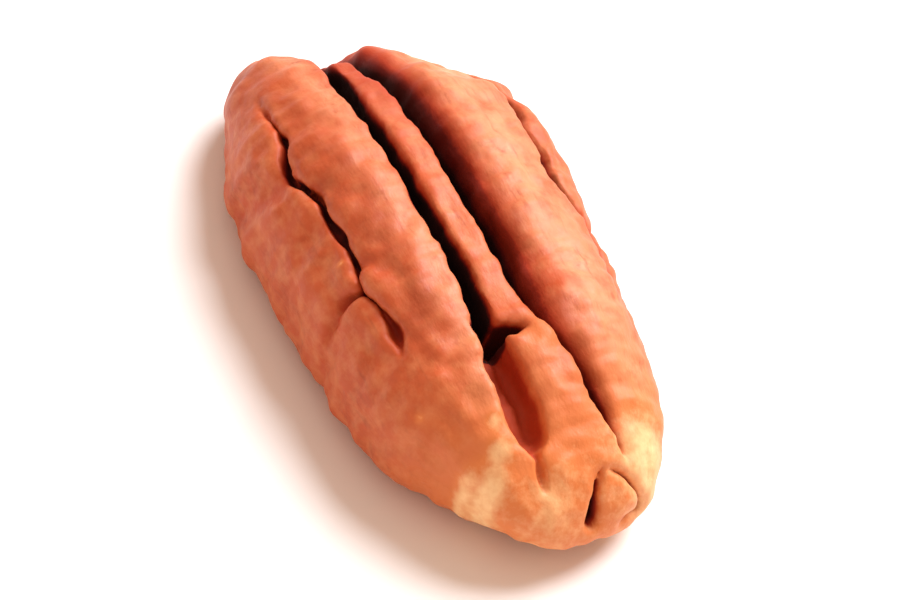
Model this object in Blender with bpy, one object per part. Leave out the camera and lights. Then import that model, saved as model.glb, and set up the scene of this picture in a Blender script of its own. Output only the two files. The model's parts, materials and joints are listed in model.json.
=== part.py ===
# Half of a shelled pecan, lying on its flat side with the grooved side up.
# Metres. +X runs to the tip, +Z up; the origin is on the ground under the middle of the nut.

import math

import bmesh
import bpy
import numpy as np
from mathutils import Matrix

LENGTH = 0.028
WIDTH = 0.0151
HEIGHT = 0.0077
MM = 0.001

# The shape without its furrows.
RIM_LEVEL = 0.28          # height of the widest line, as a share of HEIGHT
OUTLINE_FULLNESS = 2.9    # how blunt both ends are, seen from above
OUTLINE_SHOULDER = 2.5
ARCH_FULLNESS = 2.4       # how long the back stays high, seen from the side
BACK_ROUNDNESS = 2.3      # cross section above the rim: 2 is an ellipse, more is boxier
BELLY_ROUNDNESS = 3.0     # cross section below the rim
KEEL_RISE = 4.0           # how late the belly rises towards the ends

# The belly: a wide shallow valley with a low rib along its middle.
VALLEY_DEPTH = 1.5 * MM
VALLEY_REACH = 0.42       # share of the half width
RIB_HEIGHT = 0.45 * MM
RIB_REACH = 0.09
REST_DEPTH = 0.22 * MM    # how much of the belly is worn flat where the nut rests

# The rim lobes swell outwards between the back end and the middle of the nut.
RIGHT_SWELL = 0.9 * MM
LEFT_SWELL = 0.35 * MM
SWELL_CENTRE = -0.42      # along the nut, as a share of the half length
SWELL_REACH = 0.42

# The round body's mesh, thinned once the furrows are in it.
RINGS = 90
COLUMNS = 200
BACK_CROWDING = 0.3       # draws the columns together on the back, where the furrows are
KEPT_SHARE = 0.2          # of the triangles

# A furrow's route: along and across as shares of the half length and half width, then its
# half width and depth there in millimetres. Its lips roll in over "reach" by "drop".
FURROWS = {
    "left groove": {
        "route": ((-0.97, -0.06, 0.25, 0.5), (-0.80, -0.12, 0.36, 1.9), (-0.55, -0.16, 0.40, 2.5),
                  (-0.15, -0.20, 0.40, 2.6), (0.20, -0.23, 0.42, 2.4), (0.40, -0.28, 0.45, 1.9)),
        "reach": 1.1, "drop": 0.55},
    "right groove": {
        "route": ((-0.97, 0.08, 0.30, 0.6), (-0.80, 0.13, 0.60, 2.1), (-0.50, 0.15, 0.78, 2.9),
                  (0.00, 0.16, 0.80, 3.1), (0.36, 0.18, 0.72, 2.9), (0.60, 0.24, 0.60, 2.3),
                  (0.78, 0.26, 0.50, 1.5), (0.88, 0.25, 0.30, 0.5)),
        "reach": 1.1, "drop": 0.55},
    "front trough": {
        "route": ((0.40, -0.23, 0.55, 1.7), (0.52, -0.21, 0.75, 1.5), (0.66, -0.22, 0.90, 1.3),
                  (0.80, -0.29, 0.55, 0.9), (0.93, -0.30, 0.25, 0.4)),
        "reach": 0.9, "drop": 0.35},
    "ridge gap": {
        "route": ((0.40, -0.26, 0.30, 1.5), (0.42, -0.12, 0.30, 1.0), (0.42, -0.01, 0.25, 0.4)),
        "reach": 0.5, "drop": 0.2},
    "left fissure": {
        "route": ((-0.93, -0.38, 0.22, 0.4), (-0.78, -0.62, 0.28, 1.1), (-0.60, -0.71, 0.30, 1.5),
                  (-0.44, -0.79, 0.30, 1.4), (-0.28, -0.74, 0.30, 1.5), (-0.06, -0.71, 0.28, 1.3),
                  (0.10, -0.82, 0.28, 1.2), (0.22, -0.80, 0.28, 0.7), (0.40, -0.80, 0.25, 0.2)),
        "reach": 1.2, "drop": 0.55},
    "left fold": {
        "route": ((0.10, -0.82, 0.28, 1.1), (0.12, -0.91, 0.28, 0.9), (0.18, -0.98, 0.25, 0.5)),
        "reach": 0.9, "drop": 0.4},
    "right fissure": {
        "route": ((-0.92, 0.42, 0.22, 0.4), (-0.76, 0.64, 0.28, 1.1), (-0.55, 0.76, 0.30, 1.4),
                  (-0.36, 0.74, 0.30, 1.4), (-0.18, 0.79, 0.30, 1.4), (-0.02, 0.78, 0.28, 1.3),
                  (0.08, 0.86, 0.28, 1.0), (0.30, 0.84, 0.25, 0.3)),
        "reach": 1.2, "drop": 0.55},
    "right fold": {
        "route": ((0.06, 0.85, 0.28, 1.0), (0.09, 0.93, 0.28, 0.8), (0.14, 0.98, 0.25, 0.4)),
        "reach": 0.9, "drop": 0.4},
    "tip cleft": {
        "route": ((0.88, 0.12, 0.22, 0.4), (0.94, 0.04, 0.30, 1.0), (0.995, -0.01, 0.30, 1.0)),
        "reach": 0.8, "drop": 0.35},
}
ROUTE_STEPS = 12          # stretches between two points of a route
RIDGE_DIP = 0.45 * MM     # the thin ridge between the grooves lies this much lower
RIDGE_DIP_REACH = 0.30    # share of the half width
LOBE_START = 0.42         # where the ridge ends and the higher middle lobe begins

SEED_COAT = (0.60, 0.20, 0.09, 1.0)


def clear_scene():
    for thing in list(bpy.data.objects):
        bpy.data.objects.remove(thing, do_unlink=True)


def half_width(along):
    return WIDTH / 2 * (1 - np.abs(along) ** OUTLINE_FULLNESS) ** (1 / OUTLINE_SHOULDER)


def back_height(along):
    return HEIGHT * (1 - RIM_LEVEL) * (1 - np.abs(along) ** ARCH_FULLNESS) ** 0.5


def belly_depth(along):
    return HEIGHT * RIM_LEVEL * (1 - np.abs(along) ** KEEL_RISE) ** 0.5


def body_points(along, angle):
    """Points of the smooth body: along is -1 to 1, angle goes round the cross section."""
    side, up = np.cos(angle), np.sin(angle)
    above = up >= 0
    power = np.where(above, 2 / BACK_ROUNDNESS, 2 / BELLY_ROUNDNESS)
    reach = np.where(above, back_height(along), belly_depth(along))
    y = half_width(along) * np.sign(side) * np.abs(side) ** power
    z = HEIGHT * RIM_LEVEL + reach * np.sign(up) * np.abs(up) ** power
    return np.stack([along * LENGTH / 2, y, z], axis=-1)


def back_point(along, across):
    """The point of the smooth back over a place given in shares of the half sizes."""
    width = half_width(along)
    y = np.clip(across * WIDTH / 2, -0.985 * width, 0.985 * width)
    rise = (1 - np.abs(y / width) ** BACK_ROUNDNESS) ** (1 / BACK_ROUNDNESS)
    return np.stack([along * LENGTH / 2, y, HEIGHT * RIM_LEVEL + back_height(along) * rise], axis=-1)


def smooth_route(points):
    """A Catmull-Rom curve through the rows of points."""
    rows = np.array(points, dtype=float)
    rows = np.vstack([2 * rows[0] - rows[1], rows, 2 * rows[-1] - rows[-2]])
    curve = []
    for start in range(len(rows) - 3):
        before, first, second, after = rows[start:start + 4]
        for step in range(ROUTE_STEPS):
            s = step / ROUTE_STEPS
            curve.append(0.5 * (2 * first + (second - before) * s
                                + (2 * before - 5 * first + 4 * second - after) * s ** 2
                                + (3 * first - before - 3 * second + after) * s ** 3))
    curve.append(rows[-2])
    return np.array(curve)


def smooth_step(low, high, value):
    s = np.clip((value - low) / (high - low), 0, 1)
    return s * s * (3 - 2 * s)


def furrow_depth(points, furrow):
    """How far in the furrow takes each point."""
    route = smooth_route(furrow["route"])
    along = np.clip(route[:, 0], -0.995, 0.995)
    path = back_point(along, route[:, 1])
    begin, run = path[:-1], path[1:] - path[:-1]
    offset = points[:, None, :] - begin[None, :, :]
    share = np.clip((offset * run).sum(axis=2) / (run * run).sum(axis=1), 0, 1)
    distance = np.linalg.norm(offset - share[:, :, None] * run, axis=2)
    nearest = distance.argmin(axis=1)
    rows = np.arange(len(points))
    distance = distance[rows, nearest]
    share = share[rows, nearest]
    half = (route[:-1, 2][nearest] * (1 - share) + route[1:, 2][nearest] * share) * MM
    depth = (route[:-1, 3][nearest] * (1 - share) + route[1:, 3][nearest] * share) * MM
    deepest = route[:, 3].max() * MM
    slot = 1 - smooth_step(0.45, 1.0, distance / half)
    roll = np.clip(1 - (distance - half) / (furrow["reach"] * MM), 0, 1)
    lip = furrow["drop"] * MM * (1 - np.sqrt(1 - roll ** 2)) * np.sqrt(depth / deepest)
    return np.maximum(depth * slot, 0) + lip


def vertex_values(mesh, values, name):
    numbers = np.empty(len(mesh.vertices) * 3)
    values.foreach_get(name, numbers)
    return numbers.reshape(-1, 3)


def move_vertices(mesh, points):
    mesh.vertices.foreach_set("co", points.ravel())
    mesh.update()


def make_body():
    shape = bmesh.new()
    bmesh.ops.create_uvsphere(shape, u_segments=COLUMNS, v_segments=RINGS, radius=1)
    bmesh.ops.rotate(shape, verts=shape.verts, matrix=Matrix.Rotation(math.pi / 2, 3, 'Y'))
    mesh = bpy.data.meshes.new("furrowed body")
    shape.to_mesh(mesh)
    shape.free()

    unit = vertex_values(mesh, mesh.vertices, "co")
    along = np.clip(unit[:, 0], -1, 1)
    angle = np.arctan2(unit[:, 2], unit[:, 1])
    angle = angle + BACK_CROWDING * np.cos(angle)
    points = body_points(along, angle)
    move_vertices(mesh, points)
    normals = vertex_values(mesh, mesh.vertex_normals, "vector")
    move_vertices(mesh, carve(points, normals, along))
    return mesh


def thinned(mesh):
    """The same body with fewer triangles: small ones stay where it is furrowed."""
    fine = bpy.data.objects.new("fine body", mesh)
    bpy.context.scene.collection.objects.link(fine)
    thin = fine.modifiers.new("thin", 'DECIMATE')
    thin.ratio = KEPT_SHARE
    thin.use_collapse_triangulate = True
    evaluated = fine.evaluated_get(bpy.context.evaluated_depsgraph_get())
    result = bpy.data.meshes.new_from_object(evaluated)
    bpy.data.objects.remove(fine)
    result.name = "pecan_half"
    return result


def settle(mesh):
    """Wears the lowest places flat, puts them on the ground and brings the body to size."""
    points = vertex_values(mesh, mesh.vertices, "co")
    ground = points[:, 2].min() + REST_DEPTH
    points[:, 2] = np.maximum(points[:, 2] - ground, 0)
    size = np.ptp(points, axis=0)
    points[:, :2] -= (points.max(axis=0) + points.min(axis=0))[:2] / 2
    move_vertices(mesh, points * np.array([LENGTH, WIDTH, HEIGHT]) / size)


def carve(points, normals, along):
    across = points[:, 1] / (WIDTH / 2)
    flank = smooth_step(0.35, 0.9, np.abs(normals[:, 1]))
    swell = np.where(across > 0, RIGHT_SWELL, LEFT_SWELL) * flank
    swell = swell * np.exp(-np.abs((along - SWELL_CENTRE) / SWELL_REACH) ** 3)
    sink = np.zeros(len(points))
    for furrow in FURROWS.values():
        sink = np.maximum(sink, furrow_depth(points, furrow))
    behind_lobe = 1 - smooth_step(LOBE_START - 0.06, LOBE_START + 0.02, along)
    on_back = smooth_step(0.0, 0.4, normals[:, 2])
    dip = RIDGE_DIP * np.exp(-(across / RIDGE_DIP_REACH) ** 2) * behind_lobe * on_back
    carved = points + normals * (swell - sink - dip)[:, None]

    below = smooth_step(0.2, 0.7, -normals[:, 2])
    ends = 1 - np.abs(along) ** 4
    own_across = np.abs(points[:, 1]) / np.maximum(half_width(along), MM)
    valley = VALLEY_DEPTH * np.exp(-(own_across / VALLEY_REACH) ** 4)
    rib = RIB_HEIGHT * np.exp(-(own_across / RIB_REACH) ** 2)
    carved[:, 2] += (valley - rib) * below * ends
    return carved


def seed_coat_material():
    material = bpy.data.materials.new("seed_coat")
    material.use_nodes = True
    shader = material.node_tree.nodes["Principled BSDF"]
    shader.inputs["Base Color"].default_value = SEED_COAT
    shader.inputs["Roughness"].default_value = 0.5
    shader.inputs["Metallic"].default_value = 0.0
    return material


def main():
    clear_scene()
    collection = bpy.data.collections.new("shelled pecan half")
    bpy.context.scene.collection.children.link(collection)
    mesh = thinned(make_body())
    settle(mesh)
    mesh.shade_smooth()
    mesh.materials.append(seed_coat_material())
    nut = bpy.data.objects.new("pecan_half", mesh)
    collection.objects.link(nut)


main()
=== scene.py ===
# A shelled pecan half lying on its flat side, in a plain pale studio.
import json
import math

import bmesh
import bpy
import numpy as np
from mathutils import Matrix, Vector, kdtree, noise

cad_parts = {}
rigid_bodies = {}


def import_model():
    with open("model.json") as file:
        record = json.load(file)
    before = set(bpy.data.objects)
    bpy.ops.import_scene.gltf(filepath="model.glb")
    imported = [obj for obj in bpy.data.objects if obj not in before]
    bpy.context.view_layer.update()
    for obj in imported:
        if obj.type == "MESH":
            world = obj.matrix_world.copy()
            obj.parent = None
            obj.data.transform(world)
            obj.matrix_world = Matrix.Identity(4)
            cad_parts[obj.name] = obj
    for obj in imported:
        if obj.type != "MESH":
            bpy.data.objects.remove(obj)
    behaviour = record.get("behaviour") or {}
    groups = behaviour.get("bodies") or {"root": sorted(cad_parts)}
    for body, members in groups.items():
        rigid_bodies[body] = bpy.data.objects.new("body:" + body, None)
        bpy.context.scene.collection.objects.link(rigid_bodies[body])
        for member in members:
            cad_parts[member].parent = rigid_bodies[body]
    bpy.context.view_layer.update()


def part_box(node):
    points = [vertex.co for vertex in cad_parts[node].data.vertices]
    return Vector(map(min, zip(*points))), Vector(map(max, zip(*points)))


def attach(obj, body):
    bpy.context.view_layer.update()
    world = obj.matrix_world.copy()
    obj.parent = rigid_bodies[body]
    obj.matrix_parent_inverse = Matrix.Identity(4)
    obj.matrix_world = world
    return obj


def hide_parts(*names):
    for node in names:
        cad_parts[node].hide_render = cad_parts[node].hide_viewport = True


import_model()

mm = 0.001

nut = {
    "node": "pecan_half", "body": "root", "slot": "seed_coat",
    # the smooth body: shares of the height, and how full its curves are
    "rimLevel": 0.28, "outlineFullness": 2.9, "outlineShoulder": 2.5,
    "archFullness": 2.4, "backRoundness": 2.3, "bellyRoundness": 3.0, "keelRise": 4.0,
    # the underside: millimetres, with reaches as shares of the half width; which way a point
    # must face to belong to it; and how much is worn flat where the nut rests
    "valleyDepth": 1.5, "valleyReach": 0.42, "ribHeight": 0.45, "ribReach": 0.09,
    "underside": (0.2, 0.7), "restDepth": 0.22,
    # the thin ridge lies lower than the shoulders, up to where the front lobe starts
    "ridgeDip": 0.45, "ridgeDipReach": 0.30, "lobeStart": (0.38, 0.46), "topside": (0.0, 0.4),
    # the back end is notched
    "notchDepth": 1.4, "notchReach": 0.26, "notchStart": 0.72,
    # how far sideways a point faces before the swells reach it
    "flank": (0.35, 0.9),
    # dark folds, the skin's own darker red deepened with painted shade: millimetres under the skin
    # where they are darkest, millimetres of rounding at which a lip is as dark as it gets, and that darkness
    "deepFrom": 0.55, "lipDarkRounding": 0.85, "lipShare": 0.55,
    # darker low down, and along the middle towards the back
    "rimDarkening": 0.10, "rimTop": 0.35, "backDarkening": 0.42, "backReach": 0.33, "backStart": (-0.1, 0.8),
    # paler crests, partly worn skin and partly a painted highlight: across, reach, amount
    "crestWearAndHighlights": ((-0.36, 0.13, 0.8), (0.56, 0.24, 1.0), (-0.03, 0.08, 0.45)),
    # painted shade strips: across, reach, amount, and where along the nut they fade out
    "shade": ((-0.56, 0.15, 0.85, 0.2, 0.5), (0.27, 0.075, 0.8, 0.65, 0.8)),
    # painted shade on the low right flank too: up to which height, how far across, fading along
    "flankShade": 0.95, "flankHeight": (0.30, 0.62), "flankAcross": (0.2, 0.6), "flankFade": (0.6, 0.9),
    # paler towards the tip, partly rubbed skin and partly painted light, and rubbed in spots: along, across,
    # reach, amount
    "tipWearAndLight": 0.48, "tipStart": 0.35,
    "wornSpots": ((0.775, -0.67, 0.032, 0.7), (0.83, -0.55, 0.042, 0.75), (0.76, -0.455, 0.034, 0.6),
                  (0.85, 0.50, 0.11, 0.55), (0.92, -0.20, 0.06, 0.35), (0.48, 0.06, 0.06, 0.3),
                  (0.68, -0.43, 0.024, 0.55), (-0.02, -0.80, 0.008, 0.7), (0.55, -0.78, 0.008, 0.6)),
    # the mesh
    "columns": 400, "rings": 190, "backCrowding": 0.3, "routeSteps": 8, "bodyEnd": 0.995,
    "grain": 0.105, "smoothing": 3, "mostTriangles": 185000,
    # relief in millimetres: size of the pattern, then its height
    "lumps": (2.7, 0.24), "dimples": (0.95, 0.145), "wrinkles": (0.42, 0.065),
}

# The rim swells out or draws in: side, place and reach along the nut, millimetres.
swells = ((1, -0.42, 0.42, 0.9), (-1, -0.48, 0.36, 0.30), (-1, 0.86, 0.22, -0.9))

# Where the body is drawn in: the way out, then in millimetres where that starts and how softly,
# and the share kept past it.
trims = (((0.56, -0.53, -0.64), 7.25, 0.5, 0.1), ((-0.44, -0.88, -0.19), 9.9, 0.9, 0.3),
         ((-0.75, 0.42, 0.51), 11.6, 0.8, 0.3))

# Left and right are as seen from the tip. Routes: along and across as shares of the half
# length and half width (past 1 they turn under the rim), then half width and depth there in
# millimetres. Each lip is how far it reaches and how much it drops, left then right. A soft
# furrow is a shallow dent without lips; a higher square makes a flatter floor.
noLips = ((0.1, 0), (0.1, 0))
furrows = {
    "left groove": {
        "route": ((-0.99, -0.09, 0.30, 0.8), (-0.80, -0.155, 0.34, 1.9), (-0.54, -0.19, 0.38, 2.6),
                  (-0.15, -0.19, 0.42, 2.8), (0.14, -0.20, 0.44, 2.7), (0.32, -0.215, 0.46, 2.5),
                  (0.43, -0.235, 0.46, 2.3)),
        "lips": ((0.4, 0.18), (0.45, 0.25))},
    "right groove": {
        "route": ((-0.99, 0.05, 0.35, 0.8), (-0.80, 0.095, 0.50, 2.1), (-0.45, 0.135, 0.60, 2.9),
                  (0.00, 0.145, 0.62, 3.1), (0.30, 0.14, 0.58, 3.0), (0.42, 0.155, 0.48, 2.7),
                  (0.52, 0.215, 0.34, 2.3), (0.65, 0.26, 0.30, 2.0), (0.77, 0.30, 0.27, 1.4),
                  (0.86, 0.33, 0.20, 0.4)),
        "lips": ((0.4, 0.18), (2.2, 1.25))},
    "front trough": {
        "route": ((0.42, -0.23, 0.60, 1.8), (0.49, -0.245, 0.80, 1.5), (0.59, -0.24, 0.98, 1.4),
                  (0.69, -0.24, 0.98, 1.25), (0.75, -0.24, 0.76, 1.1), (0.80, -0.25, 0.30, 0.5)),
        "lips": ((0.3, 0.14), (0.9, 0.35)), "square": 5, "stainAndShade": 0.46},
    "trough crease": {
        "route": ((0.78, -0.24, 0.18, 0.5), (0.84, -0.24, 0.15, 0.6), (0.90, -0.245, 0.12, 0.2)),
        "lips": ((0.5, 0.16), (0.5, 0.16)), "stainAndShade": 0.6},
    "ridge gap": {
        "route": ((0.38, -0.27, 0.40, 2.9), (0.40, -0.20, 0.40, 3.0), (0.42, -0.12, 0.38, 2.8),
                  (0.43, 0.00, 0.24, 1.0)),
        "lips": ((0.25, 0.1), (0.4, 0.2)), "stainAndShade": 0.82},
    "left fissure": {
        "route": ((-0.74, -0.655, 0.10, 0.1), (-0.63, -0.69, 0.14, 1.0), (-0.53, -0.71, 0.17, 1.8),
                  (-0.46, -0.765, 0.18, 1.9), (-0.40, -0.80, 0.17, 1.7), (-0.34, -0.77, 0.17, 1.9),
                  (-0.26, -0.73, 0.18, 1.9), (-0.19, -0.75, 0.16, 1.7), (-0.10, -0.735, 0.15, 1.7),
                  (0.00, -0.74, 0.16, 1.7), (0.06, -0.76, 0.16, 1.5), (0.10, -0.775, 0.16, 1.4)),
        "lips": ((0.55, 0.26), (0.55, 0.22)), "stainAndShade": 0.82},
    "fold behind": {
        "route": ((0.10, -0.78, 0.16, 1.2), (0.09, -0.86, 0.18, 0.6), (0.11, -0.95, 0.24, 0.3),
                  (0.16, -1.03, 0.24, 0.0)),
        "lips": ((0.9, 0.28), (0.9, 0.36)), "stainAndShade": 0.55},
    "fold above": {
        "route": ((0.10, -0.78, 0.16, 1.2), (0.17, -0.74, 0.17, 0.6), (0.28, -0.73, 0.24, 0.7),
                  (0.37, -0.75, 0.12, 0.0)),
        "lips": ((0.9, 0.34), (0.6, 0.2)), "stainAndShade": 0.55},
    "margin dent": {
        "route": ((-0.42, -0.79, 0.9, 0.42), (-0.40, -0.87, 1.1, 0.42), (-0.44, -0.94, 1.2, 0.36),
                  (-0.47, -1.02, 1.2, 0.26), (-0.48, -1.14, 0.9, 0.1)),
        "lips": noLips, "soft": True, "stainAndShade": 0.25},
    "margin crease": {
        "route": ((-0.20, -0.77, 0.7, 0.24), (-0.17, -0.84, 0.8, 0.24), (-0.14, -0.91, 0.9, 0.2),
                  (-0.12, -1.0, 0.8, 0.08)),
        "lips": noLips, "soft": True, "stainAndShade": 0.2},
    "shoulder dent": {
        "route": ((-0.30, -0.74, 0.8, 0.30), (-0.28, -0.66, 0.9, 0.26), (-0.22, -0.54, 1.0, 0.12)),
        "lips": noLips, "soft": True, "stainAndShade": 0.2},
    "shoulder crease": {
        "route": ((0.02, -0.74, 0.7, 0.28), (0.05, -0.66, 0.8, 0.22), (0.12, -0.54, 0.9, 0.1)),
        "lips": noLips, "soft": True, "stainAndShade": 0.2},
    "waist dent": {
        "route": ((0.15, -0.95, 0.7, 0.2), (0.20, -1.06, 0.9, 0.34), (0.24, -1.2, 0.9, 0.2)),
        "lips": noLips, "soft": True, "stainAndShade": 0.1},
    "right fissure": {
        "route": ((-0.80, 0.60, 0.10, 0.1), (-0.70, 0.68, 0.15, 1.2), (-0.60, 0.74, 0.17, 1.7),
                  (-0.50, 0.79, 0.17, 1.7), (-0.40, 0.80, 0.17, 1.7), (-0.32, 0.77, 0.17, 1.8),
                  (-0.22, 0.79, 0.17, 1.7), (-0.12, 0.77, 0.17, 1.7), (-0.03, 0.82, 0.17, 1.5),
                  (0.03, 0.87, 0.17, 1.3)),
        "lips": ((0.55, 0.22), (0.6, 0.28))},
    "right fold behind": {
        "route": ((0.03, 0.87, 0.17, 1.0), (0.05, 0.93, 0.20, 0.5), (0.06, 1.0, 0.30, 0.35),
                  (0.10, 1.10, 0.40, 0.2), (0.14, 1.24, 0.30, 0.05)),
        "lips": ((0.9, 0.32), (0.9, 0.32)), "stainAndShade": 0.4},
    "right fold above": {
        "route": ((0.03, 0.87, 0.17, 0.9), (0.12, 0.86, 0.20, 0.6), (0.22, 0.84, 0.18, 0.3),
                  (0.34, 0.82, 0.14, 0.0)),
        "lips": ((0.7, 0.26), (0.8, 0.28)), "stainAndShade": 0.5},
    "right margin dent": {
        "route": ((-0.50, 0.80, 0.9, 0.34), (-0.49, 0.90, 1.1, 0.36), (-0.46, 1.0, 1.1, 0.26),
                  (-0.44, 1.15, 0.8, 0.1)),
        "lips": noLips, "soft": True, "stainAndShade": 0.2},
    "right front dent": {
        "route": ((0.40, 0.90, 0.8, 0.16), (0.44, 1.02, 1.0, 0.30), (0.46, 1.16, 0.9, 0.16)),
        "lips": noLips, "soft": True, "stainAndShade": 0.1},
    "tip cleft": {
        "route": ((0.89, 0.15, 0.12, 0.4), (0.92, 0.11, 0.14, 0.9), (0.95, 0.08, 0.16, 1.1),
                  (0.99, 0.06, 0.35, 1.8)),
        "lips": ((0.5, 0.25), (0.5, 0.25)), "stainAndShade": 0.85},
    "tip line": {
        "route": ((0.89, 0.20, 0.13, 0.3), (0.91, 0.30, 0.15, 0.8), (0.95, 0.43, 0.16, 0.9),
                  (0.98, 0.50, 0.16, 0.7)),
        "lips": ((0.6, 0.26), (0.6, 0.22)), "stainAndShade": 0.75},
}

low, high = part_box(nut["node"])
length, width, height = high - low


def halfWidth(along):
    return width / 2 * (1 - np.abs(along) ** nut["outlineFullness"]) ** (1 / nut["outlineShoulder"])


def backHeight(along):
    return height * (1 - nut["rimLevel"]) * (1 - np.abs(along) ** nut["archFullness"]) ** 0.5


def bellyDepth(along):
    return height * nut["rimLevel"] * (1 - np.abs(along) ** nut["keelRise"]) ** 0.5


def bodyPoints(along, angle):
    # along is -1 to 1, angle goes round the cross section
    side, up = np.cos(angle), np.sin(angle)
    above = up >= 0
    power = np.where(above, 2 / nut["backRoundness"], 2 / nut["bellyRoundness"])
    reach = np.where(above, backHeight(along), bellyDepth(along))
    y = halfWidth(along) * np.sign(side) * np.abs(side) ** power
    z = height * nut["rimLevel"] + reach * np.sign(up) * np.abs(up) ** power
    return np.stack([along * length / 2, y, z], axis=-1)


def routePoints(along, across):
    # places on the smooth body; an across of more than 1 is under the rim
    reach = halfWidth(along)
    over = np.abs(across) <= 1
    y = np.sign(across) * np.where(over, np.abs(across), 2 - np.abs(across)) * width / 2
    share = np.clip(np.abs(y) / reach, 0, nut["bodyEnd"])
    power = np.where(over, nut["backRoundness"], nut["bellyRoundness"])
    rise = np.where(over, backHeight(along), -bellyDepth(along)) * (1 - share ** power) ** (1 / power)
    y = np.sign(y) * share * reach
    return np.stack([along * length / 2, y, height * nut["rimLevel"] + rise], axis=-1)


def smoothRoute(points):
    # a Catmull-Rom curve through the rows
    rows = np.array(points, dtype=float)
    rows = np.vstack([2 * rows[0] - rows[1], rows, 2 * rows[-1] - rows[-2]])
    curve = []
    for start in range(len(rows) - 3):
        before, first, second, after = rows[start:start + 4]
        for step in range(nut["routeSteps"]):
            s = step / nut["routeSteps"]
            curve.append(0.5 * (2 * first + (second - before) * s
                                + (2 * before - 5 * first + 4 * second - after) * s ** 2
                                + (3 * first - before - 3 * second + after) * s ** 3))
    curve.append(rows[-2])
    return np.array(curve)


def smoothStep(start, end, value):
    s = np.clip((value - start) / (end - start), 0, 1)
    return s * s * (3 - 2 * s)


def furrowSink(points, furrow):
    # how far in the furrow takes each point, how much of that is its rounded lip, and its tint: the fold's
    # darker red with painted shade
    route = smoothRoute(furrow["route"])
    path = routePoints(np.clip(route[:, 0], -nut["bodyEnd"], nut["bodyEnd"]), route[:, 1])
    reaches = [lip[0] for lip in furrow["lips"]]
    margin = (max(reaches) + route[:, 2].max()) * mm
    above = (points > path.min(axis=0) - margin).all(axis=1)
    inside = above & (points < path.max(axis=0) + margin).all(axis=1)
    near = points[inside]
    distance = np.full(len(near), np.inf)
    half, depth, side = np.ones(len(near)) * mm, np.zeros(len(near)), np.zeros(len(near))
    for first, second, startRow, endRow in zip(path[:-1], path[1:], route[:-1], route[1:]):
        run = second - first
        share = np.clip((near - first) @ run / (run @ run), 0, 1)
        offset = near - first - share[:, None] * run
        away = np.linalg.norm(offset, axis=1)
        closer = away < distance
        distance[closer] = away[closer]
        row = startRow[None, :] * (1 - share[:, None]) + endRow[None, :] * share[:, None]
        half[closer] = row[closer, 2] * mm
        depth[closer] = row[closer, 3] * mm
        # which side: across the run, in the plane of the ground
        side[closer] = (run[0] * offset[closer, 1] - run[1] * offset[closer, 0])
    depth = np.maximum(depth, 0)
    right = side > 0
    reach = np.where(right, furrow["lips"][1][0], furrow["lips"][0][0]) * mm
    drop = np.where(right, furrow["lips"][1][1], furrow["lips"][0][1]) * mm
    slot = 1 - np.clip(distance / half, 0, 1) ** furrow.get("square", 3)
    if furrow.get("soft"):
        slot = (1 - np.clip(distance / half, 0, 1) ** 2) ** 2
    roll = np.clip(1 - (distance - half) / reach, 0, 1)
    lip = drop * (1 - np.sqrt(1 - roll ** 2)) * np.sqrt(depth / (route[:, 3].max() * mm))
    sink, rounded, foldStainAndShade = np.zeros(len(points)), np.zeros(len(points)), np.zeros(len(points))
    sink[inside] = depth * slot + lip
    rounded[inside] = lip
    foldStainAndShade[inside] = np.where(distance < half + reach, furrow.get("stainAndShade", 1), 0)
    return sink, rounded, foldStainAndShade


def read(mesh, values, name):
    numbers = np.empty(len(mesh.vertices) * 3)
    values.foreach_get(name, numbers)
    return numbers.reshape(-1, 3)


def move(mesh, points):
    mesh.vertices.foreach_set("co", points.ravel())
    mesh.update()


def drawnIn(points, along, across, normals):
    # the notch at the back, the hollow underneath and the places where the body is drawn in
    points = points.copy()
    notch = nut["notchDepth"] * mm * np.exp(-(across / nut["notchReach"]) ** 2)
    points[:, 0] += notch * smoothStep(nut["notchStart"], 1.0, -along)
    below = smoothStep(*nut["underside"], -normals[:, 2])
    ownAcross = np.abs(points[:, 1]) / np.maximum(halfWidth(along), mm)
    valley = nut["valleyDepth"] * np.exp(-(ownAcross / nut["valleyReach"]) ** 4)
    rib = nut["ribHeight"] * np.exp(-(ownAcross / nut["ribReach"]) ** 2)
    points[:, 2] += (valley - rib) * mm * below * (1 - np.abs(along) ** 4)
    for direction, start, softness, kept in trims:
        past = points @ np.array(direction) - start * mm
        drawn = (1 - kept) * (past + np.sqrt(past ** 2 + (softness * mm) ** 2)) / 2
        points = points - drawn[:, None] * np.array(direction)
    return points


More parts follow.
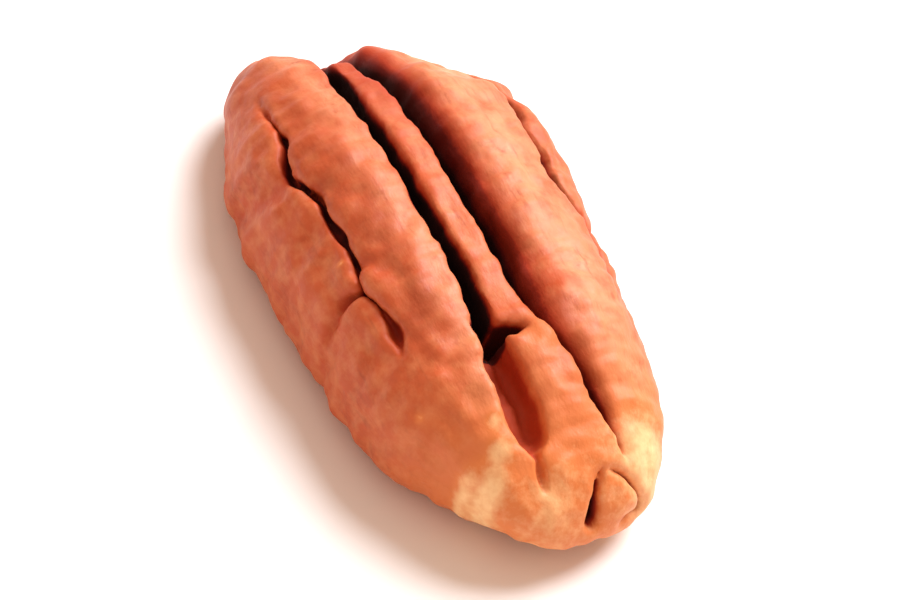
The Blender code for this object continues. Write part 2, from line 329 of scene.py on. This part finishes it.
def carvedBody():
    # the furrowed body, and what the skin needs to know of it before the furrows were cut
    shape = bmesh.new()
    bmesh.ops.create_uvsphere(shape, u_segments=nut["columns"], v_segments=nut["rings"], radius=1)
    bmesh.ops.rotate(shape, verts=shape.verts, matrix=Matrix.Rotation(math.pi / 2, 3, 'Y'))
    mesh = bpy.data.meshes.new("carved body")
    shape.to_mesh(mesh)
    shape.free()
    unit = read(mesh, mesh.vertices, "co")
    along = np.clip(unit[:, 0], -1, 1)
    angle = np.arctan2(unit[:, 2], unit[:, 1])
    angle = angle + nut["backCrowding"] * np.cos(angle)
    points = bodyPoints(along, angle)
    move(mesh, points)
    normals = read(mesh, mesh.vertex_normals, "vector")

    across = points[:, 1] / (width / 2)
    flank = smoothStep(*nut["flank"], np.abs(normals[:, 1]))
    swell = np.zeros(len(points))
    for side, centre, reach, amount in swells:
        here = (np.sign(across) == side) * np.exp(-np.abs((along - centre) / reach) ** 3)
        swell += amount * mm * flank * here
    sink, rounded, foldStainAndShade = np.zeros(len(points)), np.zeros(len(points)), np.zeros(len(points))
    for furrow in furrows.values():
        deeper, lip, skin = furrowSink(points, furrow)
        won = deeper > sink
        sink[won], rounded[won], foldStainAndShade[won] = deeper[won], lip[won], skin[won]
    behindLobe = 1 - smoothStep(*nut["lobeStart"], along)
    dip = nut["ridgeDip"] * mm * np.exp(-(across / nut["ridgeDipReach"]) ** 2)
    dip = dip * behindLobe * smoothStep(*nut["topside"], normals[:, 2])
    uncut = drawnIn(points + normals * (swell - dip)[:, None], along, across, normals)
    carved = drawnIn(points + normals * (swell - sink - dip)[:, None], along, across, normals)
    move(mesh, carved)
    return mesh, {"points": uncut, "normals": normals, "rounded": rounded, "foldStainAndShade": foldStainAndShade}


def dropStrays(shape):
    # only the nut's own skin stays: the remesh can leave a bubble closed off in a deep fold
    skin, unseen = [], set(shape.verts)
    while unseen:
        patch = [unseen.pop()]
        for vert in patch:
            beside = {edge.other_vert(vert) for edge in vert.link_edges} & unseen
            unseen -= beside
            patch.extend(beside)
        skin = max(skin, patch, key=len)
    kept = set(skin)
    strays = [vert for vert in shape.verts if vert not in kept]
    bmesh.ops.delete(shape, geom=strays, context='VERTS')
    print("strays dropped:", len(strays), "vertices")


def modified(mesh, kind, **settings):
    # the mesh as one modifier leaves it
    holder = bpy.data.objects.new("holder", mesh)
    bpy.context.scene.collection.objects.link(holder)
    modifier = holder.modifiers.new("change", kind)
    for name, value in settings.items():
        setattr(modifier, name, value)
    changed = holder.evaluated_get(bpy.context.evaluated_depsgraph_get())
    result = bpy.data.meshes.new_from_object(changed)
    bpy.data.objects.remove(holder)
    return result


def evenGrain(mesh):
    # one even skin of small faces, walls of the furrows too
    even = modified(mesh, 'REMESH', mode='VOXEL', voxel_size=nut["grain"] * mm)
    shape = bmesh.new()
    shape.from_mesh(even)
    dropStrays(shape)
    for turn in range(nut["smoothing"]):
        bmesh.ops.smooth_vert(shape, verts=shape.verts, factor=0.5,
                              use_axis_x=True, use_axis_y=True, use_axis_z=True)
    shape.to_mesh(even)
    shape.free()
    return even


def thinned(mesh):
    # fewer faces where the skin is smooth, all of them where it folds
    triangles = sum(len(face.vertices) - 2 for face in mesh.polygons)
    return modified(mesh, 'DECIMATE', ratio=min(1, nut["mostTriangles"] / triangles))


def addRelief(mesh):
    # lumps, dimples and, across the nut, the fine wrinkles of the dried skin
    points = read(mesh, mesh.vertices, "co")
    normals = read(mesh, mesh.vertex_normals, "vector")
    lumpSize, lumpHeight = nut["lumps"]
    dimpleSize, dimpleHeight = nut["dimples"]
    wrinkleSize, wrinkleHeight = nut["wrinkles"]
    lift = np.empty(len(points))
    for index, (x, y, z) in enumerate(points / mm):
        lump = noise.noise(Vector((x / lumpSize, y / lumpSize, z / lumpSize)))
        dimple = noise.noise(Vector((x / dimpleSize + 7, y / dimpleSize, z / dimpleSize)))
        wrinkle = noise.noise(Vector((x / wrinkleSize, y / wrinkleSize / 5, z / wrinkleSize / 5)))
        lift[index] = lump * lumpHeight + dimple * dimpleHeight + wrinkle * wrinkleHeight
    move(mesh, points + normals * lift[:, None] * mm)


def settle(mesh):
    # worn flat where it rests, and exactly in the CAD solid's box: along the nut only the ends
    # are stretched, so that the furrows stay in place
    points = read(mesh, mesh.vertices, "co")
    ground = points[:, 2].min() + nut["restDepth"] * mm
    points[:, 2] = np.maximum(points[:, 2], ground)
    start = points.min(axis=0)
    size = points.max(axis=0) - start
    fitted = np.array(low) + (points - start) * np.array(high - low) / size
    end = np.where(points[:, 0] > 0, points[:, 0].max(), points[:, 0].min())
    boxEnd = np.where(points[:, 0] > 0, high.x, low.x)
    fitted[:, 0] = points[:, 0] + (boxEnd - end) * smoothStep(0.7, 1.0, points[:, 0] / end)
    fitted[:, 0] = np.clip(fitted[:, 0], low.x, high.x)
    move(mesh, fitted)


def search(points):
    tree = kdtree.KDTree(len(points))
    for index, point in enumerate(points):
        tree.insert(point, index)
    tree.balance()
    return tree


def foldDepth(mesh, body):
    # how dark the skin turns, from how far each vertex lies under the uncut body: the folds' darker red
    # deepened with painted shade
    points = read(mesh, mesh.vertices, "co")
    tree = search(body["points"])
    dark = np.empty(len(points))
    for index, point in enumerate(points):
        near = tree.find_n(point, 3)
        rows = [row[1] for row in near]
        weights = np.array([1 / (row[2] + 0.05 * mm) for row in near])
        weights /= weights.sum()
        under = ((body["points"][rows] - point) * body["normals"][rows]).sum(axis=1) @ weights
        rounded = body["rounded"][rows] @ weights
        onLip = nut["lipShare"] * min(1, rounded / (nut["lipDarkRounding"] * mm))
        deep = min(1, max(0, (under - rounded) / (nut["deepFrom"] * mm)))
        dark[index] = (body["foldStainAndShade"][rows] @ weights) * (onLip + (1 - onLip) * deep)
    return dark


def markSkin(mesh, dense, denseDark):
    # where the skin is darker, in its folds partly with painted shade; paler on its crests, partly a painted
    # highlight; rubbed, and towards the tip paler with painted light; or darkened with painted shade, as
    # values the material reads
    points = read(mesh, mesh.vertices, "co")
    tree = search(dense)
    carried = denseDark[[tree.find(point)[1] for point in points]]
    along = points[:, 0] / (length / 2)
    across = points[:, 1] / (width / 2)
    middle = np.exp(-(across / nut["backReach"]) ** 2)
    dark = carried + nut["backDarkening"] * middle * smoothStep(*nut["backStart"], -along)
    dark += nut["rimDarkening"] * (1 - smoothStep(0.0, nut["rimTop"], points[:, 2] / height))
    # paler crests, partly worn skin and partly a painted highlight
    crest = np.zeros(len(points))
    for centre, reach, amount in nut["crestWearAndHighlights"]:
        crest += amount * np.exp(-((across - centre) / reach) ** 2)
    # paler towards the tip, partly rubbed skin and partly painted light; then the rubbed spots
    wearAndLight = nut["tipWearAndLight"] * smoothStep(nut["tipStart"], 1.0, along)
    for place, side, reach, amount in nut["wornSpots"]:
        away = ((along - place) / reach) ** 2 + ((across - side) / reach * 0.5) ** 2
        wearAndLight += amount * np.exp(-away)
    # painted shade: strips along the left shoulder and the groove wall, and the low right flank
    shade = np.zeros(len(points))
    for centre, reach, amount, fadeFrom, fadeTo in nut["shade"]:
        strip = np.exp(-((across - centre) / reach) ** 2)
        shade += amount * strip * (1 - smoothStep(fadeFrom, fadeTo, along))
    lowFlank = 1 - smoothStep(*nut["flankHeight"], points[:, 2] / height)
    lowFlank *= smoothStep(*nut["flankAcross"], across) * (1 - smoothStep(*nut["flankFade"], along))
    shade += nut["flankShade"] * lowFlank
    for name, values in (("stainAndShade", dark), ("crest", crest), ("wearAndLight", wearAndLight), ("shade", shade)):
        layer = mesh.attributes.new(name, 'FLOAT', 'POINT')
        layer.data.foreach_set("value", np.clip(values, 0, 1))


def linear(hexColour):
    # an sRGB hex colour as the linear values that the shaders take
    channels = [int(hexColour[start:start + 2], 16) / 255 for start in (1, 3, 5)]
    return [c / 12.92 if c <= 0.04045 else ((c + 0.055) / 1.055) ** 2.4 for c in channels] + [1.0]


def addNode(tree, kind, values=None, links=None, **settings):
    node = tree.nodes.new(kind)
    for name, value in settings.items():
        setattr(node, name, value)
    for socket, value in (values or {}).items():
        node.inputs[socket].default_value = value
    for socket, source in (links or {}).items():
        tree.links.new(source, node.inputs[socket])
    return node


def seedCoat():
    # pecan testa: a thin waxy skin, dried onto the kernel. It looks satin, orange brown and
    # blotchy, dark red where it folds in, with painted shade deepening the folds and painted shade strips on
    # the shoulders and low flank, paler on the crests with a painted highlight, and cream where rubbing has
    # thinned it, paler towards the tip with painted light.
    look = {
        "crest": "#e6946a", "yellowedAndLit": "#d97a40", "rubbedAndLit": "#f5c48c", "blotchAndShade": "#a2421f",
        "pale": "#e59a66",
        # skin to deepest fold, the folds' darker red deepened with painted shade; past foldsWin no other
        # mark shows
        "folds": ((0.0, "#bf552b"), (0.15, "#bb4b1f"), (0.45, "#a93211"), (0.64, "#701408"),
                  (0.85, "#3c0703"), (1.0, "#260301")),
        "foldsWin": (0.2, 0.5),
        # sizes in millimetres
        "blotchSize": 1.6, "mottleSize": 0.75, "fleckSize": 0.45, "veinSize": 0.34,
        "veinLength": 3.2, "wrinkleSize": 0.22, "wrinkleLength": 0.55, "wrinkleHeight": 0.03,
        # the stretch of each pattern over which its mark comes in
        "crestPatches": (0.25, 0.6), "blotchPatches": (0.50, 0.72), "blotchFlecks": (0.3, 0.7),
        "veins": (0.56, 0.80), "veinPatches": (0.3, 0.6), "mottle": (0.42, 0.80),
        "shadePatches": (0.2, 0.65), "yellowedAndLitFrom": (0.0, 0.45), "rubbedAndLitFrom": (0.45, 1.05),
        "mottleAmount": 0.45, "rubbedRaggedness": 0.35,
        "roughness": (0.40, 0.60), "foldRoughness": 0.4, "specular": 0.32,
        # a little light passes into the kernel, red furthest
        "bleed": 0.05, "bleedColour": (1.0, 0.3, 0.15), "bleedDepth": 0.5,
    }
    material = bpy.data.materials.new("pecan seed coat")
    material.use_nodes = True
    tree = material.node_tree
    shader = tree.nodes["Principled BSDF"]
    place = addNode(tree, "ShaderNodeTexCoord").outputs["Object"]
    stainAndShade, crest, wearAndLight, shade = (addNode(tree, "ShaderNodeAttribute", attribute_name=name).outputs["Fac"]
                                 for name in ("stainAndShade", "crest", "wearAndLight", "shade"))

    def pattern(size, detail, roughness, stretch=1.0):
        # noise that many millimetres across, drawn out along the nut
        squeezed = addNode(tree, "ShaderNodeMapping", {"Scale": (1 / stretch, 1, 1)}, {"Vector": place})
        noiseNode = addNode(tree, "ShaderNodeTexNoise",
                            {"Scale": 1 / (size * mm), "Detail": detail, "Roughness": roughness},
                            {"Vector": squeezed.outputs["Vector"]})
        return noiseNode.outputs["Fac"]

    def between(source, stretch):
        limits = {"From Min": stretch[0], "From Max": stretch[1]}
        return addNode(tree, "ShaderNodeMapRange", limits, {"Value": source}).outputs["Result"]

    def spread(source, least, most):
        limits = {"To Min": least, "To Max": most}
        return addNode(tree, "ShaderNodeMapRange", limits, {"Value": source}).outputs["Result"]

    def multiplied(first, second):
        return addNode(tree, "ShaderNodeMath", links={0: first, 1: second}, operation='MULTIPLY').outputs[0]

    def scaled(source, amount):
        return addNode(tree, "ShaderNodeMath", {1: amount}, {0: source}, operation='MULTIPLY').outputs[0]

    def added(first, second):
        return addNode(tree, "ShaderNodeMath", links={0: first, 1: second}, operation='ADD').outputs[0]

    def blended(amount, first, second):
        # a colour mix: sockets 0, 6 and 7 are the factor and the two colours
        return addNode(tree, "ShaderNodeMix", {7: linear(second)}, {0: amount, 6: first},
                       data_type='RGBA').outputs[2]

    blotches = pattern(look["blotchSize"], 4, 0.55)
    mottle = pattern(look["mottleSize"], 4, 0.6)
    flecks = pattern(look["fleckSize"], 3, 0.6)
    veins = pattern(look["veinSize"], 3, 0.6, look["veinLength"] / look["veinSize"])

    # the fold colour: the skin's darker red with painted shade, by depth
    ramp = addNode(tree, "ShaderNodeValToRGB", links={"Fac": stainAndShade})
    stops = ramp.color_ramp.elements
    stops[0].position, stops[1].position = 0.0, 1.0
    for position, colour in look["folds"]:
        stop = stops[0] if position == 0 else stops[-1] if position == 1 else stops.new(position)
        stop.color = linear(colour)
    foldColour = ramp.outputs["Color"]

    crestPatches = multiplied(crest, between(blotches, look["crestPatches"]))
    darkPatches = multiplied(between(blotches, look["blotchPatches"]), between(flecks, look["blotchFlecks"]))
    darkVeins = multiplied(between(veins, look["veins"]), between(blotches, look["veinPatches"]))
    paleMottle = scaled(between(mottle, look["mottle"]), look["mottleAmount"])
    paintedShadePatches = multiplied(shade, between(blotches, look["shadePatches"]))
    ragged = added(wearAndLight, spread(flecks, -look["rubbedRaggedness"], look["rubbedRaggedness"]))
    # paler crests: partly worn skin, partly a painted highlight
    colour = blended(crestPatches, foldColour, look["crest"])
    colour = blended(darkPatches, colour, look["blotchAndShade"])
    colour = blended(darkVeins, colour, look["blotchAndShade"])
    colour = blended(paleMottle, colour, look["pale"])
    # painted shade, in the dark blotch colour
    colour = blended(paintedShadePatches, colour, look["blotchAndShade"])
    # yellower, then cream, where rubbed, and towards the tip as painted light
    colour = blended(between(wearAndLight, look["yellowedAndLitFrom"]), colour, look["yellowedAndLit"])
    colour = blended(between(ragged, look["rubbedAndLitFrom"]), colour, look["rubbedAndLit"])
    # the folds and their painted shade stay dark under every other mark
    withFolds = addNode(tree, "ShaderNodeMix", data_type='RGBA',
                        links={0: between(stainAndShade, look["foldsWin"]), 6: colour, 7: foldColour})
    tree.links.new(withFolds.outputs[2], shader.inputs["Base Color"])

    rough = added(spread(flecks, *look["roughness"]), scaled(stainAndShade, look["foldRoughness"]))
    tree.links.new(rough, shader.inputs["Roughness"])
    wrinkles = pattern(look["wrinkleSize"], 4, 0.6, look["wrinkleLength"] / look["wrinkleSize"])
    bump = addNode(tree, "ShaderNodeBump", {"Distance": look["wrinkleHeight"] * mm, "Strength": 1.0},
                   {"Height": wrinkles})
    tree.links.new(bump.outputs["Normal"], shader.inputs["Normal"])
    shader.inputs["Specular IOR Level"].default_value = look["specular"]
    shader.inputs["Subsurface Weight"].default_value = look["bleed"]
    shader.inputs["Subsurface Radius"].default_value = look["bleedColour"]
    shader.inputs["Subsurface Scale"].default_value = look["bleedDepth"] * mm
    return material


def makeNut():
    mesh, body = carvedBody()
    print("carved body:", len(mesh.vertices), "vertices")
    mesh = evenGrain(mesh)
    print("even grain:", len(mesh.polygons), "faces")
    dark = foldDepth(mesh, body)
    addRelief(mesh)
    dense = read(mesh, mesh.vertices, "co")
    mesh = thinned(mesh)
    markSkin(mesh, dense, dark)
    settle(mesh)
    mesh.shade_smooth()
    mesh.materials.clear()
    mesh.materials.append(seedCoat())
    piece = bpy.data.objects.new("pecanHalf", mesh)
    bpy.context.scene.collection.objects.link(piece)
    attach(piece, nut["body"])
    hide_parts(nut["node"])
    print("nut:", len(mesh.polygons), "triangles")
    return piece


studio = {
    # metres; the cameras of the other views see nothing past about 1.6 m
    "floorSize": 2.4, "backdropRadius": 0.9, "backdropHeight": 1.2,
    "floorColour": "#f7f5f2", "floorRoughness": 0.9, "floorSpecular": 0.2,
    # where the camera stands, seen from the nut: degrees round from +X, up, and rolled
    "around": -40, "up": 50, "roll": 17.6,
    # millimetres: how much it takes in, and where it aims
    "lens": 300, "viewWidth": 38.96, "aimHeight": 3.18, "aimShift": (-0.12, -1.0),
    "nearest": 0.01, "farthest": 20,
    # cool light from behind and above, as wide in degrees as a large soft box, in a warm room
    "keyFrom": (-0.24, 0.58, 0.76), "keySpread": 36, "keyStrength": 4.9, "keyColour": "#f4f8ff",
    "worldStrength": 0.72, "worldColour": "#ffe0ca",
}


def asObject(shape, name, material):
    mesh = bpy.data.meshes.new(name)
    shape.to_mesh(mesh)
    shape.free()
    mesh.materials.append(material)
    made = bpy.data.objects.new(name, mesh)
    bpy.context.scene.collection.objects.link(made)
    return made


def makeFloor():
    shape = bmesh.new()
    bmesh.ops.create_grid(shape, x_segments=1, y_segments=1, size=studio["floorSize"] / 2)
    # matt white paper: it takes soft shadows and no reflections
    material = bpy.data.materials.new("white paper sweep")
    material.use_nodes = True
    shader = material.node_tree.nodes["Principled BSDF"]
    shader.inputs["Base Color"].default_value = linear(studio["floorColour"])
    shader.inputs["Roughness"].default_value = studio["floorRoughness"]
    shader.inputs["Specular IOR Level"].default_value = studio["floorSpecular"]
    floor = asObject(shape, "floor", material)
    print("floor made")


def makeBackdrop():
    # paper all round, lit to pure white. It is hidden from every ray but the camera's, so that
    # it lights nothing
    shape = bmesh.new()
    bmesh.ops.create_cone(shape, cap_ends=False, segments=64, radius1=studio["backdropRadius"],
                          radius2=studio["backdropRadius"], depth=studio["backdropHeight"])
    material = bpy.data.materials.new("lit white paper")
    material.use_nodes = True
    tree = material.node_tree
    light = addNode(tree, "ShaderNodeEmission", {"Color": (1, 1, 1, 1), "Strength": 1.0})
    tree.links.new(light.outputs["Emission"], tree.nodes["Material Output"].inputs["Surface"])
    backdrop = asObject(shape, "backdrop", material)
    backdrop.visible_diffuse = False
    backdrop.visible_glossy = False
    backdrop.visible_transmission = False
    backdrop.visible_shadow = False
    print("backdrop made")


def makeLights():
    scene = bpy.context.scene
    world = bpy.data.worlds.new("studio")
    scene.world = world
    world.use_nodes = True
    sky = world.node_tree.nodes["Background"]
    sky.inputs["Color"].default_value = linear(studio["worldColour"])
    sky.inputs["Strength"].default_value = studio["worldStrength"]
    key = bpy.data.lights.new("key", 'SUN')
    key.angle = math.radians(studio["keySpread"])
    key.energy = studio["keyStrength"]
    key.color = linear(studio["keyColour"])[:3]
    lamp = bpy.data.objects.new("key", key)
    lamp.rotation_euler = Vector(studio["keyFrom"]).to_track_quat('Z', 'Y').to_euler()
    scene.collection.objects.link(lamp)
    scene.view_settings.view_transform = 'Standard'
    print("lights made")


def makeCamera():
    around, up, roll = (math.radians(studio[name]) for name in ("around", "up", "roll"))
    back = Vector((math.cos(up) * math.cos(around), math.cos(up) * math.sin(around), math.sin(up)))
    level = Vector((-math.sin(around), math.cos(around), 0))
    rise = back.cross(level)
    right = level * math.cos(roll) + rise * math.sin(roll)
    top = rise * math.cos(roll) - level * math.sin(roll)
    camera = bpy.data.cameras.new("camera")
    camera.lens = studio["lens"]
    camera.clip_start = studio["nearest"]
    camera.clip_end = studio["farthest"]
    aim = Vector((0, 0, studio["aimHeight"] * mm))
    aim += (right * studio["aimShift"][0] + top * studio["aimShift"][1]) * mm
    distance = camera.lens / camera.sensor_width * studio["viewWidth"] * mm
    view = bpy.data.objects.new("camera", camera)
    turn = Matrix((right, top, back)).transposed()
    view.matrix_world = Matrix.Translation(aim + back * distance) @ turn.to_4x4()
    bpy.context.scene.collection.objects.link(view)
    bpy.context.scene.camera = view
    print("camera made")


makeNut()
makeFloor()
makeBackdrop()
makeLights()
makeCamera()
